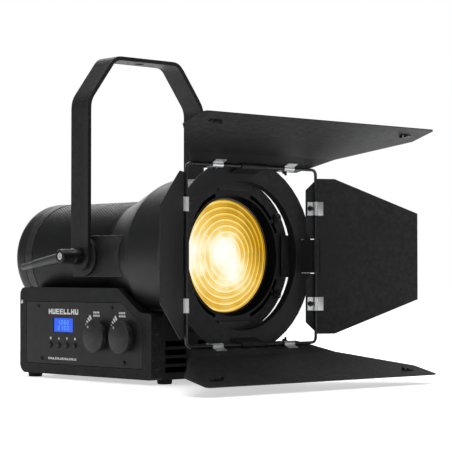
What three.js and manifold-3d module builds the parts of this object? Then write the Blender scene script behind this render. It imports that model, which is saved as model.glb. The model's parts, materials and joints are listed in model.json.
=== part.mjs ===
// Fresnel spotlight with barn doors, a yoke and a control box under the barrel.
// Millimetres, +Z up. The light shines towards -Y. The origin is on the floor, under the middle of the
// object. Inside the lamp group the optical axis is the line x = 0, z = 0, and y = 0 is the plane of the
// barn door's wire frame.
import * as THREE from "three";
import { mergeVertices } from "three/addons/utils/BufferGeometryUtils.js";
import Module from "manifold-3d";

const wasm = await Module();
wasm.setup();

// ---- driving dimensions ----
const GAP = 0.3; // between pieces that touch
const AXIS_HEIGHT = 166; // optical axis above the floor
const FRAME_X = -6; // the side leaves stand open unequally, so the axis is beside the middle of the object
const FRAME_Y = -142; // wire frame plane in the part's frame
const SHEET = 1.5; // steel sheet of the housing
const ROUND = 40; // facets of the big round shells

const doors = {
  side: 114, // half side of the wire square
  rod: 2, // rod radius
  bend: 8, // corner radius of the wire
  sheet: 1.2,
  behind: 13, // how far a leaf reaches behind its hinge
  notch: 23, // half width of the notch that clears the ring plate's tab
  notchDeep: { wide: 3.9, tapered: 6.5 }, // from the hinge
  crease: 24.8, // from the hinge to the crease across a wide leaf
  fold: 9, // degrees that a wide leaf turns inwards at its crease
  catchPlace: [167.5, 95], // a corner catch's screw, from the middle of the crease
  clipPlace: 63, // a clip's distance from the middle of its leaf
  clipLength: 18,
  clipReach: 11,
};
const leafAngles = { top: 27.1, right: 60.8, bottom: 22.7, left: 52.3 }; // opened from straight ahead
const ring = { inner: 96.5, outer: 126, y: 19, collar: 11, tab: 22, slit: 0.2, fold: 106.5 };
const bracket = { flange: 28, channel: 21, flangeIn: 84.5, wall: 127.2, lipIn: 121.5, lipY: 14.6, backY: 34.2 };
const lens = { radius: 77, clear: 74.4, frontY: 47, edgeY: 55.6, backY: 62, rings: 8, step: 1.4 };
const barrel = { radius: 102.5, frontY: 60, endY: 132, coneY: 198.5 };
const rear = { radius: 75, startY: 199.5, endY: 397, capY: 420 };
const nose = { radius: 101, faceY: 38, endY: 59.6, hole: 79.6 };
const pivot = { y: 229, block: 27.5, blockOut: 92, disc: 26.5, stud: 5 };
const yoke = {
  out: 103.5,
  thick: 5.5,
  width: 37.5,
  bendZ: 210,
  topHalf: 57.5,
  topZ: 271.7,
  endZ: -0.5, // centre of the rounded ends
  hole: 6.5,
  bend: 11,
};
const base = { half: 98, flange: 77, front: 86, back: 370.5, top: -42, step: -75, bottom: -160 };
const panel = { front: 104.5, back: 355.5, top: -61.5, bottom: -146, cutY: 146, cutZ: -89.5, radius: 3.5 };
const knob = { radius: 21.2, out: 13.5, places: [190.5, 136.5], z: -106 };
const button = { radius: 3.1, places: [299.5, 281, 263, 245.5], z: -120 };
const screen = { y0: 250.8, y1: 293.6, z0: -102.3, z1: -83.5 };
const foot = { radius: 10, front: [66, 97], rear: [84, 353] }; // places to either side of the middle
const lever = { x: -127, hubOut: 137, length: 98, slope: 0.15 };
const carriage = { y: 205, radius: 62, rail: 54 };

// ---- solids ----
const bare = (geometry) => {
  const g = geometry.clone();
  g.deleteAttribute("normal");
  g.deleteAttribute("uv");
  return mergeVertices(g, 1e-4);
};

function solid(geometry) {
  const g = bare(geometry);
  const make = (index) =>
    new wasm.Manifold(
      new wasm.Mesh({
        numProp: 3,
        vertProperties: new Float32Array(g.attributes.position.array),
        triVerts: new Uint32Array(index),
      }),
    );
  const made = make(g.index.array);
  if (made.volume() > 0) return made;
  return make([...g.index.array].reverse());
}

function toGeometry(made) {
  const mesh = made.getMesh();
  const g = new THREE.BufferGeometry();
  g.setAttribute("position", new THREE.BufferAttribute(new Float32Array(mesh.vertProperties), 3));
  g.setIndex(new THREE.BufferAttribute(new Uint32Array(mesh.triVerts), 1));
  g.computeVertexNormals();
  return g;
}

const join = (...parts) => parts.reduce((sum, next) => sum.add(next));
const cut = (body, ...tools) => tools.reduce((left, tool) => left.subtract(tool), body);

const box = (x0, x1, y0, y1, z0, z1) =>
  solid(
    new THREE.BoxGeometry(x1 - x0, y1 - y0, z1 - z0).translate((x0 + x1) / 2, (y0 + y1) / 2, (z0 + z1) / 2),
  );

// A cylinder from a to b along one axis, centred on the other two coordinates in the order X, Y, Z.
function rod(axis, a, b, radius, centre = [0, 0], sides = 24, radiusAtB = radius) {
  const g = new THREE.CylinderGeometry(radiusAtB, radius, b - a, sides).translate(0, (a + b) / 2, 0);
  if (axis === "x") g.rotateZ(-Math.PI / 2).translate(0, centre[0], centre[1]);
  if (axis === "y") g.translate(centre[0], 0, centre[1]);
  if (axis === "z") g.rotateX(Math.PI / 2).translate(centre[0], centre[1], 0);
  return solid(g);
}

// A closed profile of [radius, y] points turned about the optical axis.
const turned = (profile, sides = ROUND) =>
  solid(new THREE.LatheGeometry([...profile, profile[0]].map(([r, y]) => new THREE.Vector2(r, y)), sides));

// A profile that starts and ends on the axis.
const turnedSolid = (profile, sides = ROUND) =>
  solid(new THREE.LatheGeometry(profile.map(([r, y]) => new THREE.Vector2(r, y)), sides));

// A flat outline in y and z, given a thickness along x from x0 to x1.
function slabX(shape, x0, x1, curveSegments = 4) {
  const g = new THREE.ExtrudeGeometry(shape, { depth: x1 - x0, bevelEnabled: false, curveSegments });
  g.applyMatrix4(
    new THREE.Matrix4().makeBasis(
      new THREE.Vector3(0, 1, 0),
      new THREE.Vector3(0, 0, 1),
      new THREE.Vector3(1, 0, 0),
    ),
  );
  return solid(g.translate(x0, 0, 0));
}

const polygon = (points) => new THREE.Shape(points.map(([a, b]) => new THREE.Vector2(a, b)));

// A polygon with every corner rounded to a radius.
function roundedPolygon(points, radius) {
  const shape = new THREE.Shape();
  points.forEach((p, i) => {
    const here = new THREE.Vector2(...p);
    const before = new THREE.Vector2(...points.at(i - 1));
    const after = new THREE.Vector2(...points[(i + 1) % points.length]);
    const start = here.clone().add(before.sub(here).setLength(radius));
    const end = here.clone().add(after.sub(here).setLength(radius));
    if (i === 0) shape.moveTo(start.x, start.y);
    else shape.lineTo(start.x, start.y);
    shape.quadraticCurveTo(here.x, here.y, end.x, end.y);
  });
  return shape;
}

// A curve that steps exactly from one listed point to the next.
class Route extends THREE.Curve {
  constructor(points) {
    super();
    this.points = points;
  }
  getPointAt(u, target = new THREE.Vector3()) {
    const place = u * (this.points.length - 1);
    const i = Math.min(Math.floor(place + 1e-6), this.points.length - 2);
    return target.lerpVectors(this.points[i], this.points[i + 1], place - i);
  }
  getTangentAt(u, target = new THREE.Vector3()) {
    const i = Math.round(u * (this.points.length - 1));
    const a = this.points[Math.max(i - 1, 0)];
    const b = this.points[Math.min(i + 1, this.points.length - 1)];
    return target.subVectors(b, a).normalize();
  }
}

// ---- materials ----
const paint = { color: 0x26272a, roughness: 0.6, metalness: 0.2 };
const finishes = {
  housing: paint,
  doors: { color: 0x1f2022, roughness: 0.55, metalness: 0.2 },
  cover: { color: 0x2b2c30, roughness: 0.65, metalness: 0.1 },
  zinc: { color: 0xb9bcc0, roughness: 0.35, metalness: 1 },
  steel: { color: 0x8d9095, roughness: 0.4, metalness: 1 },
  glass: { color: 0xffc45a, roughness: 0.15, metalness: 0 },
  plastic: { color: 0x18191b, roughness: 0.5, metalness: 0 },
  display: { color: 0x3b6cff, roughness: 0.2, metalness: 0 },
  rubber: { color: 0x141414, roughness: 0.9, metalness: 0 },
  alloy: { color: 0xa5a8ac, roughness: 0.45, metalness: 1 },
  led: { color: 0xf4d774, roughness: 0.5, metalness: 0 },
  board: { color: 0x1d5a34, roughness: 0.6, metalness: 0 },
};

function piece(name, made, finish, parent) {
  const mesh = new THREE.Mesh(toGeometry(made), new THREE.MeshStandardMaterial(finishes[finish]));
  mesh.name = name;
  parent.add(mesh);
  return mesh;
}

const part = new THREE.Group();
const lamp = new THREE.Group();
lamp.position.set(FRAME_X, FRAME_Y, AXIS_HEIGHT);
part.add(lamp);

// ---- barn doors ----
// Half of the wire square, from the middle of one side round to the middle of the opposite side,
// a little past each so that the two halves join.
function wireHalf(sign) {
  const { side, bend } = doors;
  const points = [new THREE.Vector3(-sign, 0, side)];
  for (const turn of [1, 0]) {
    for (let k = 0; k <= 3; k += 1) {
      const angle = (Math.PI / 2) * (turn - k / 3);
      const centre = (turn ? 1 : -1) * (side - bend);
      points.push(
        new THREE.Vector3(sign * (side - bend + bend * Math.cos(angle)), 0, centre + bend * Math.sin(angle)),
      );
    }
  }
  points.push(new THREE.Vector3(-sign, 0, -side));
  const circle = new THREE.Shape().absarc(0, 0, doors.rod, 0, 2 * Math.PI);
  const path = new Route(points);
  return solid(
    new THREE.ExtrudeGeometry(circle, {
      steps: points.length - 1,
      extrudePath: path,
      bevelEnabled: false,
      curveSegments: 5,
    }),
  );
}
piece("wire_frame", join(wireHalf(1), wireHalf(-1)), "doors", lamp);

// Four tabs are cut from the ring's rim, bent forward and rolled round the wire.
function ringPlate() {
  const { inner, outer, y, collar, tab, slit, fold } = ring;
  const t = doors.sheet;
  let body = turned([
    [inner, y],
    [outer, y],
    [outer, y + t],
    [inner + t, y + t],
    [inner + t, y + collar],
    [inner, y + collar],
  ], 48);
  for (let turn = 0; turn < 4; turn += 1) {
    const place = (made) => made.rotate([0, turn * 90, 0]);
    const window = box(-tab - slit, tab + slit, y - 1, y + t + 1, fold, outer + 1);
    const slope = slabX(
      polygon([
        [y + t, fold - 1.4],
        [y + t, fold],
        [3, doors.side - 0.8],
        [1.6, doors.side - 2.6],
      ]),
      -tab,
      tab,
    );
    const roll = cut(
      rod("x", -tab, tab, doors.rod + GAP + t, [0, doors.side], 16),
      rod("x", -tab - 1, tab + 1, doors.rod + GAP, [0, doors.side], 16),
    );
    const clear = rod("x", -tab - 1, tab + 1, doors.rod + GAP, [0, doors.side], 16);
    body = join(cut(body, place(window)), place(join(cut(slope, clear), roll)));
  }
  return body;
}
piece("ring_plate", ringPlate(), "doors", lamp);

// Leaf outlines: [along the hinge, ahead of the hinge], the right half; the left half mirrors it.
// A wide leaf goes on beyond its crease with the flap, whose outline starts at the crease.
const { behind, notch, crease } = doors;
const creaseHalf = 128;
const leafStart = [
  [notch, -6],
  [notch + 9, -behind],
];
const leafOutlines = {
  wide: [...leafStart, [90, -behind], [105.8, 1.5], [creaseHalf, crease]],
  tapered: [...leafStart, [87.5, -behind], [103, 3], [103, 27], [57.7, 143.5]],
};

const leafFlap = [[creaseHalf, -0.1], [201.5, 76], [201.5, 114], [197.5, 117]];
const leafLow = doors.rod + GAP;

function sheetOf(start, right) {
  const left = [...right].reverse().map(([u, t]) => [-u, t]);
  const shape = polygon([...start, ...right, ...left].map(([u, t]) => [u, -t]));
  return solid(new THREE.ExtrudeGeometry(shape, { depth: doors.sheet, bevelEnabled: false }));
}

function leafSheet(kind) {
  const notchTop = [
    [-notch, doors.notchDeep[kind]],
    [notch, doors.notchDeep[kind]],
  ];
  const strip = sheetOf(notchTop, leafOutlines[kind]).translate([0, 0, leafLow]);
  if (kind === "tapered") return strip;
  const flap = sheetOf([], leafFlap).rotate([doors.fold, 0, 0]).translate([0, -crease, leafLow]);
  return join(strip, flap);
}

// A saddle clip holds the leaf on the wire: two flat tabs and a half-round bridge over the wire.
function saddleClip(along) {
  const { rod: r, sheet: t, clipReach: reach, clipLength } = doors;
  const tabTop = r;
  const tabLow = r - t;
  const arc = (radius, from, to) =>
    Array.from({ length: 7 }, (_, k) => {
      const a = from + ((to - from) * k) / 6;
      return [radius * Math.cos(a), -radius * Math.sin(a)];
    });
  const outline = [
    [-reach, tabTop],
    [-reach, tabLow],
    [-r - GAP - t, tabLow],
    ...arc(r + GAP + t, Math.PI, 0),
    [r + GAP + t, tabLow],
    [reach, tabLow],
    [reach, tabTop],
    [r + GAP, tabTop],
    ...arc(r + GAP, 0, Math.PI),
    [-r - GAP, tabTop],
  ];
  return slabX(polygon(outline), along - clipLength / 2, along + clipLength / 2);
}

// A swivel catch at a corner of a wide leaf: a narrow arm with a hooked inner end, turning on one screw.
// It lies under the flap, whose inner face is z = 0.
function cornerCatch(side) {
  const t = doors.sheet;
  const top = -GAP;
  const [half, arm, hookDeep] = [2.2, 10, 4];
  const [u, ahead] = [side * doors.catchPlace[0], doors.catchPlace[1]];
  const inner = u - side * arm;
  const span = (a, b) => [Math.min(a, b), Math.max(a, b)];
  const plate = box(...span(inner, u + side * (arm - 2)), -ahead - half, -ahead + half, top - t, top);
  const hook = box(...span(inner, inner + side * t), -ahead - half, -ahead + half, top - hookDeep, top);
  const screw = rod("z", top - t - 1.6, top - t + 0.2, 2.6, [u, -ahead], 12);
  return join(plate, hook, screw);
}

const quarters = ["top", "right", "bottom", "left"];
quarters.forEach((quarter, i) => {
  const turn = new THREE.Group();
  turn.rotation.y = (i * Math.PI) / 2;
  lamp.add(turn);
  const hinge = new THREE.Group();
  hinge.position.z = doors.side;
  hinge.rotation.x = -THREE.MathUtils.degToRad(leafAngles[quarter]);
  turn.add(hinge);
  const flap = new THREE.Group();
  flap.position.set(0, -crease, leafLow);
  flap.rotation.x = THREE.MathUtils.degToRad(doors.fold);
  hinge.add(flap);
  const wide = i % 2 === 0;
  piece(`leaf_${quarter}`, leafSheet(wide ? "wide" : "tapered"), "doors", hinge);
  for (const [label, side] of [["a", -1], ["b", 1]]) {
    piece(`clip_${quarter}_${label}`, saddleClip(side * doors.clipPlace), "zinc", hinge);
    if (wide) piece(`catch_${quarter}_${label}`, cornerCatch(side), "doors", flap);
  }
  piece(`accessory_bracket_${quarter}`, accessoryBracket(), "housing", turn);
});

// A bracket of bent sheet: a leg on the nose's rim, a flange on its face, and a channel that holds the ring.
function accessoryBracket() {
  const { flange, channel, flangeIn, wall, lipIn, lipY, backY } = bracket;
  const t = SHEET;
  const legIn = nose.radius + GAP;
  return join(
    box(-flange, flange, backY, backY + t, flangeIn, legIn + t),
    box(-channel, channel, backY, backY + t, legIn, wall + t),
    box(-channel, channel, lipY, backY + t, wall, wall + t),
    box(-channel, channel, lipY, lipY + t, lipIn, wall + t),
    box(-channel - 2, channel + 2, backY, nose.endY - 2, legIn, legIn + t),
  );
}

// ---- lens and shells ----
function fresnelLens() {
  const { radius, clear, frontY, edgeY, backY, rings, step } = lens;
  const dome = (r) => frontY + (edgeY - frontY) * (r / clear) ** 2;
  const profile = [
    [0, backY],
    [radius, backY],
    [radius, edgeY],
    [clear, edgeY],
  ];
  for (let k = rings - 1; k > 0; k -= 1) {
    const r = (clear * k) / rings;
    profile.push([r, dome(r)], [r, Math.min(dome(r) + step, edgeY)]);
  }
  profile.push([0, frontY]);
  return turnedSolid(profile);
}
piece("fresnel_lens", fresnelLens(), "glass", lamp);

piece(
  "lens_bezel",
  turned([
    [74.8, 53.8],
    [78, 37.6],
    [79.3, 37.6],
    [79.3, 41],
    [76.6, 53.8],
    [90, 53.8],
    [90, 55.2],
    [74.8, 55.2],
  ]),
  "housing",
  lamp,
);
piece(
  "nose_ring",
  turned([
    [nose.hole, nose.faceY],
    [nose.radius - 1.5, nose.faceY],
    [nose.radius, nose.faceY + 1.5],
    [nose.radius, nose.endY],
    [nose.radius - SHEET, nose.endY],
    [nose.radius - SHEET, nose.faceY + 2],
    [nose.hole, nose.faceY + 2],
  ]),
  "housing",
  lamp,
);

// Outer profile of the barrel, from the front wall to the collar that takes the rear shell.
const collar = rear.radius + GAP;
const barrelOutside = [
  [barrel.radius, barrel.frontY],
  [barrel.radius, barrel.endY],
  [collar + SHEET, barrel.coneY],
  [collar + SHEET, barrel.coneY + 5.5],
];
piece(
  "barrel_shell",
  turned([
    [92, barrel.frontY],
    ...barrelOutside,
    [collar, barrel.coneY + 5.5],
    [collar, barrel.coneY - 0.7],
    [barrel.radius - SHEET, barrel.endY - 0.7],
    [barrel.radius - SHEET, barrel.frontY + SHEET],
    [92, barrel.frontY + SHEET],
  ]),
  "housing",
  lamp,
);
piece(
  "rear_shell",
  turned([
    [rear.radius, rear.startY],
    [rear.radius, rear.endY],
    [rear.radius - SHEET, rear.endY],
    [rear.radius - SHEET, rear.startY],
  ]),
  "housing",
  lamp,
);

function rearCap() {
  const back = rear.capY;
  const shell = turned([
    [collar, rear.endY - 7],
    [collar + 1.4, rear.endY - 7],
    [collar + 1.4, back - 20],
    [collar - 1.6, back - 11],
    [collar - 8, back - 3.5],
    [collar - 17, back],
    [9, back],
    [9, back - 2],
    [collar - 18, back - 2],
    [collar - 10, back - 5.5],
    [collar - 4, back - 12],
    [collar - 1.6, back - 20],
    [collar - 1.6, rear.endY + GAP],
    [collar, rear.endY + GAP],
  ]);
  const slots = [-32, -22, -12, 12, 22, 32].map((z) => box(-40, 40, back - 4, back + 2, z - 2.5, z + 2.5));
  return cut(shell, ...slots);
}
piece("rear_cap", rearCap(), "housing", lamp);

// Everything round the barrel stands clear of this body: the shells grown by a margin.
const grownShells = (margin) =>
  turnedSolid([
    [0, barrel.frontY - 4],
    [barrel.radius + margin, barrel.frontY - 4],
    [barrel.radius + margin, barrel.endY + margin * 0.4],
    [collar + SHEET + margin, barrel.coneY + margin * 0.4],
    [collar + SHEET + margin, rear.endY - 12],
    [collar + 1.6 + margin, rear.endY - 12],
    [collar + 1.6 + margin, rear.capY + 4],
    [0, rear.capY + 4],
  ]);

// ---- pivots, yoke and clamp ----
for (const [label, side] of [["left", -1], ["right", 1]]) {
  const x = (a, b) => [Math.min(side * a, side * b), Math.max(side * a, side * b)];
  const armIn = yoke.out - yoke.thick;
  const block = cut(
    box(...x(60, pivot.blockOut), barrel.endY + 3, pivot.y + 29, -pivot.block, pivot.block),
    grownShells(0.4),
  );
  const disc = rod("x", ...x(pivot.blockOut - 1, armIn - GAP), pivot.disc, [pivot.y, 0], 32);
  const hole = rod("x", ...x(80, armIn + 2), pivot.stud + GAP, [pivot.y, 0], 20);
  piece(`pivot_block_${label}`, cut(join(block, disc), hole), "housing", lamp);
}
piece("tilt_stud", rod("x", 0.6 - lever.hubOut, -80.4, pivot.stud, [pivot.y, 0], 20), "zinc", lamp);
piece(
  "tilt_bolt",
  join(
    rod("x", 80.4, yoke.out + 1, pivot.stud, [pivot.y, 0], 20),
    rod("x", yoke.out + GAP, yoke.out + 2, 13, [pivot.y, 0], 24),
    rod("x", yoke.out + 1.8, yoke.out + 8, 8.5, [pivot.y, 0], 6),
  ),
  "zinc",
  lamp,
);

// A line of points whose inner corners are rounded, starting `reach` before each corner.
function eased(points, reach) {
  const toward = (from, to) => new THREE.Vector2(...to).sub(from).setLength(reach).add(from);
  return points.flatMap((p, i) => {
    if (i === 0 || i === points.length - 1) return [p];
    const here = new THREE.Vector2(...p);
    const curve = new THREE.QuadraticBezierCurve(toward(here, points[i - 1]), here, toward(here, points[i + 1]));
    return curve.getPoints(4).map(({ x, y }) => [x, y]);
  });
}

function yokeBar() {
  const { out, thick, width, bendZ, topHalf, topZ, endZ, hole, bend } = yoke;
  const slant = Math.atan2(topZ - bendZ, out - topHalf);
  const inset = thick * Math.tan((Math.PI / 2 - slant) / 2);
  const insetTop = thick * Math.tan(slant / 2);
  const endRadius = width / 2;
  const arch = (half, top, topSide, bottomSide) => {
    const right = [[topSide, top], [half, bottomSide], [half, endZ]];
    return [...right.map(([x, z]) => [-x, z]).reverse(), ...right];
  };
  const outside = eased(arch(out, topZ, topHalf, bendZ), bend);
  const inside = eased(arch(out - thick, topZ - thick, topHalf - insetTop, bendZ - inset), bend - 2);
  const outline = [...outside, ...inside.reverse()];
  const g = new THREE.ExtrudeGeometry(polygon(outline), { depth: width, bevelEnabled: false });
  g.rotateX(Math.PI / 2).translate(0, pivot.y + width / 2, 0);
  const ends = [-1, 1].map((side) => {
    const a = side * out;
    const b = side * (out - thick);
    return rod("x", Math.min(a, b), Math.max(a, b), endRadius, [pivot.y, endZ], 28);
  });
  return cut(
    join(solid(g), ...ends),
    rod("z", topZ - thick - 2, topZ + 2, hole, [0, pivot.y], 24),
    rod("x", -out - 2, out + 2, pivot.stud + 0.4, [pivot.y, 0], 24),
  );
}
piece("yoke", yokeBar(), "housing", lamp);

// The lever's hub turns on the stud; its grip points back and a little down.
function clampLever() {
  const hubIn = -yoke.out - GAP;
  const hub = join(
    rod("x", hubIn - 12, hubIn, 11, [pivot.y, 0], 24),
    rod("x", -lever.hubOut, hubIn - 11, 9.5, [pivot.y, 0], 24),
  );
  const grip = new THREE.LatheGeometry(
    [
      [0, 4],
      [6.6, 4],
      [6.6, 22],
      [5.4, 70],
      [4.3, 72],
      [4.1, lever.length - 3],
      [3.2, lever.length - 1],
      [0, lever.length],
    ].map(([r, y]) => new THREE.Vector2(r, y)),
    16,
  );
  grip.rotateX(-lever.slope).translate(lever.x, pivot.y, 0);
  const hole = rod("x", -lever.hubOut - 1, hubIn + 1, pivot.stud + GAP, [pivot.y, 0], 20);
  return cut(join(hub, solid(grip)), hole);
}
piece("clamp_lever", clampLever(), "plastic", lamp);

// ---- control box ----
const boxOutline = (inset) => {
  const f = base.front + inset;
  const b = base.back - inset;
  const slope = inset * 0.41;
  return roundedPolygon(
    [
      [b, base.top - 6 - inset],
      [b - 6, base.top - inset],
      [155 + slope, base.top - inset],
      [109 + slope, base.step + 1.5 - inset],
      [f, base.step - inset],
      [f, base.bottom + inset],
      [b - 8, base.bottom + inset],
      [b, base.bottom + 8 + inset],
    ],
    4,
  );
};
const saddleMargin = 0.6;
for (const [label, side] of [["left", -1], ["right", 1]]) {
  const x = (a, b) => [Math.min(side * a, side * b), Math.max(side * a, side * b)];
  const shell = cut(
    slabX(boxOutline(0), ...x(base.flange, base.half), 2),
    slabX(boxOutline(SHEET), ...x(base.flange - 2, base.half - SHEET), 2),
  );
  const ledge = box(...x(60, base.flange + 1), 158, base.back - 2, base.top - SHEET, base.top);
  let cover = cut(join(shell, ledge), grownShells(saddleMargin + SHEET + GAP));
  if (label === "left") cover = cut(cover, slabX(panelOutline(0.6), -base.half - 1, -base.half + 3, 3));
  piece(`side_cover_${label}`, cover, "cover", lamp);
}

function panelOutline(grow) {
  const { front, back, top, bottom, cutY, cutZ, radius } = panel;
  return roundedPolygon(
    [
      [back + grow, top + grow],
      [cutY - grow * 0.3, top + grow],
      [front - grow, cutZ + grow * 0.3],
      [front - grow, bottom - grow],
      [back + grow, bottom - grow],
    ],
    radius,
  );
}

function controlPanel() {
  const outer = -base.half + 0.2;
  const inner = outer + 2;
  const holes = [
    box(outer - 1, inner + 1, screen.y0 - GAP, screen.y1 + GAP, screen.z0 - GAP, screen.z1 + GAP),
    ...button.places.map((y) => rod("x", outer - 1, inner + 1, button.radius + GAP, [y, button.z], 14)),
    ...knob.places.map((y) => rod("x", outer - 1, inner + 1, 3 + GAP, [y, knob.z], 12)),
  ];
  return cut(slabX(panelOutline(0), outer, inner, 3), ...holes);
}
piece("control_panel", controlPanel(), "cover", lamp);
piece(
  "lcd_screen",
  box(-base.half + 0.6, -base.half + 4, screen.y0, screen.y1, screen.z0, screen.z1),
  "display",
  lamp,
);
piece("control_board", slabX(panelOutline(-6), -90, -88.4, 2), "board", lamp);

knob.places.forEach((y, i) => {
  const face = -base.half - knob.out;
  const made = join(
    rod("x", face, -base.half - GAP, knob.radius - 0.8, [y, knob.z], 32, knob.radius),
    rod("x", -base.half - 1, -91, 3, [y, knob.z], 12),
  );
  piece(["zoom_knob", "dimmer_knob"][i], made, "plastic", lamp);
});
button.places.forEach((y, i) => {
  const made = rod("x", -base.half - 1.8, -base.half + 5, button.radius, [y, button.z], 14);
  piece(`button_${i + 1}`, made, "plastic", lamp);
});

// Floor, front and rear plates in one bent sheet, with three columns of vents in the front.
function chassis() {
  const w = base.flange - GAP;
  const { front, back, bottom, step, top } = base;
  const front3 = [-56, 0, 56].flatMap((x) =>
    [0, 1, 2, 3].map((row) => {
      const z = -110 - row * 11.2;
      return box(x - 18, x + 18, front - 1, front + SHEET + 1, z - 7, z);
    }),
  );
  const sheet = join(
    box(-w, w, front, back, bottom, bottom + SHEET),
    box(-w, w, front, front + SHEET, bottom, step),
    box(-w, w, back - SHEET, back, bottom, top),
  );
  return cut(sheet, grownShells(saddleMargin), ...front3);
}
piece("base_chassis", chassis(), "housing", lamp);
piece(
  "base_saddle",
  grownShells(saddleMargin + SHEET)
    .subtract(grownShells(saddleMargin))
    .intersect(box(-76.4, 76.4, base.front + 2, base.back - 2, -130, base.top - SHEET - GAP)),
  "housing",
  lamp,
);
for (const [label, side] of [["left", -1], ["right", 1]]) {
  for (const end of ["front", "rear"]) {
    const [x, y] = foot[end];
    const made = rod("z", -AXIS_HEIGHT, base.bottom - GAP, foot.radius - 1, [side * x, y], 20, foot.radius);
    piece(`foot_${end}_${label}`, made, "rubber", lamp);
  }
}
piece("power_supply", box(-45, 45, 225, 345, -154, -104), "alloy", lamp);

// Sockets on the rear plate: a square flange and a round body with a recess.
function socket(x, z, half, radius) {
  const y = base.back + GAP;
  return cut(
    join(box(x - half, x + half, y, y + 2, z - half, z + half), rod("y", y + 1, y + 9, radius, [x, z], 24)),
    rod("y", y + 3, y + 10, radius - 2, [x, z], 24),
  );
}
piece("power_inlet", socket(-52, -122, 15, 12.5), "plastic", lamp);
piece("data_in", socket(12, -122, 13, 11), "plastic", lamp);
piece("data_out", socket(48, -122, 13, 11), "plastic", lamp);

// ---- light engine inside the barrel ----
function ledCarriage() {
  const { y, radius, rail } = carriage;
  const plate = rod("y", y, y + 4, radius, [0, 0], 32);
  const fins = [-40, -30, -20, -10, 0, 10, 20, 30, 40].map((x) => {
    const tall = Math.sqrt(52 ** 2 - x ** 2);
    return box(x - 1, x + 1, y + 3.5, y + 34, -tall, tall);
  });
  return cut(
    join(plate, ...fins),
    rod("y", y - 1, y + 5, 3.4, [rail, 0], 16),
    rod("y", y - 1, y + 5, 4.5, [-rail, 0], 16),
  );
}
piece("led_carriage", ledCarriage(), "alloy", lamp);
piece("led_module", box(-16, 16, carriage.y - 2.3, carriage.y - GAP, -16, 16), "led", lamp);
piece("guide_rod", rod("y", 66, rear.endY - 6, 3, [carriage.rail, 0], 16), "steel", lamp);
piece("zoom_screw", rod("y", 66, rear.endY - 6, 4, [-carriage.rail, 0], 16), "steel", lamp);

function fanRotor() {
  const y = rear.endY + 4;
  const blades = [0, 1, 2, 3, 4].map((k) => {
    const blade = new THREE.BoxGeometry(9, 1.2, 24).rotateZ(0.7).translate(0, y + 5, 26);
    return solid(blade.rotateY((k * 2 * Math.PI) / 5));
  });
  return join(rod("y", y, y + 10, 15, [0, 0], 24), ...blades);
}
piece("fan_rotor", fanRotor(), "plastic", lamp);

export default part;
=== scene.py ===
"""Looks of the fresnel spotlight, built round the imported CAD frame.

Pieces are modelled in the lamp's own millimetres: the optical axis is x = 0, z = 0, and y = 0 is the plane
of the barn door's wire frame. MM turns those into the row frame's metres.
"""
import json
import math

import bmesh
import bpy
from mathutils import Matrix, Vector


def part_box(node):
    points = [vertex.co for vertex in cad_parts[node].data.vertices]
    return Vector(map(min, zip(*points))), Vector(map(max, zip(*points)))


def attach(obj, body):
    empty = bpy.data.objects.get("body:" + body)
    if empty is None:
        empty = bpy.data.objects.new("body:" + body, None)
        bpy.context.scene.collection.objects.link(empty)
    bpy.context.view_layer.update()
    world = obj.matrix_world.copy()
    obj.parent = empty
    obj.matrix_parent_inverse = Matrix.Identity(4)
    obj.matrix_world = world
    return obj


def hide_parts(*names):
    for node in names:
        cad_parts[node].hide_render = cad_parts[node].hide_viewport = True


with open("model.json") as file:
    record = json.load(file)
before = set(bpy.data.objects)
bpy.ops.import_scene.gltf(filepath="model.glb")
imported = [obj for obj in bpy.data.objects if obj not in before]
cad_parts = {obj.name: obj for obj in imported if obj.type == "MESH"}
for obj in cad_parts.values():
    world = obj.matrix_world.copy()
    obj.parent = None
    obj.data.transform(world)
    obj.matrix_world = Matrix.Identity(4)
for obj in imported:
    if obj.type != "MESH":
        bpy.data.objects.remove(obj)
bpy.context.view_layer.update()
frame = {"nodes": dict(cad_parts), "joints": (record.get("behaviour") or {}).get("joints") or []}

joints = {j["name"]: j for j in frame["joints"]}
LAMP = Vector(joints["barndoor_turn"]["pos_m"])
MM = Matrix.Translation(LAMP) @ Matrix.Scale(0.001, 4)

# Measures in millimetres that more than one piece shares.
WIRE_ROD = 2.0  # radius of the bent wire
LENS_RADIUS = 77.0
LENS_CLEAR = 74.4  # radius of the lens's stepped part
LENS_RINGS = 9.3  # steps from the middle to that radius
LENS_EDGE = 55.6  # front of the lens's flat edge
BARREL_RADIUS = 102.5
SHELL_RADIUS = 75.3  # rear shell
PIVOT_Y = 229.0  # yoke pivot
PRINT_X = -97.8  # face of the control panel
LEVER_SLOPE = 0.15  # radians below level


def span(node):
    """Lowest and highest corner of a CAD node in lamp millimetres."""
    low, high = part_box(node)
    return (Vector(low) - LAMP) * 1000, (Vector(high) - LAMP) * 1000


def ring_spot(radius, degrees, y):
    """A place on a circle round the optical axis."""
    a = math.radians(degrees)
    return Vector((radius * math.cos(a), y, radius * math.sin(a)))


# ---------------------------------------------------------------- materials
def node_material(name):
    material = bpy.data.materials.new(name)
    material.use_nodes = True
    return material, material.node_tree.nodes, material.node_tree.links


def noise(nodes, links, scale, detail=3.0, roughness=0.55):
    """A noise texture in object space, in metres."""
    coords = nodes.new("ShaderNodeTexCoord")
    texture = nodes.new("ShaderNodeTexNoise")
    texture.inputs["Scale"].default_value = scale
    texture.inputs["Detail"].default_value = detail
    texture.inputs["Roughness"].default_value = roughness
    links.new(coords.outputs["Object"], texture.inputs["Vector"])
    return texture.outputs["Fac"]


def remap(nodes, links, value, low, high, from_low=0.3, from_high=0.7):
    node = nodes.new("ShaderNodeMapRange")
    node.inputs["From Min"].default_value = from_low
    node.inputs["From Max"].default_value = from_high
    node.inputs["To Min"].default_value = low
    node.inputs["To Max"].default_value = high
    links.new(value, node.inputs["Value"])
    return node.outputs["Result"]


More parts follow.
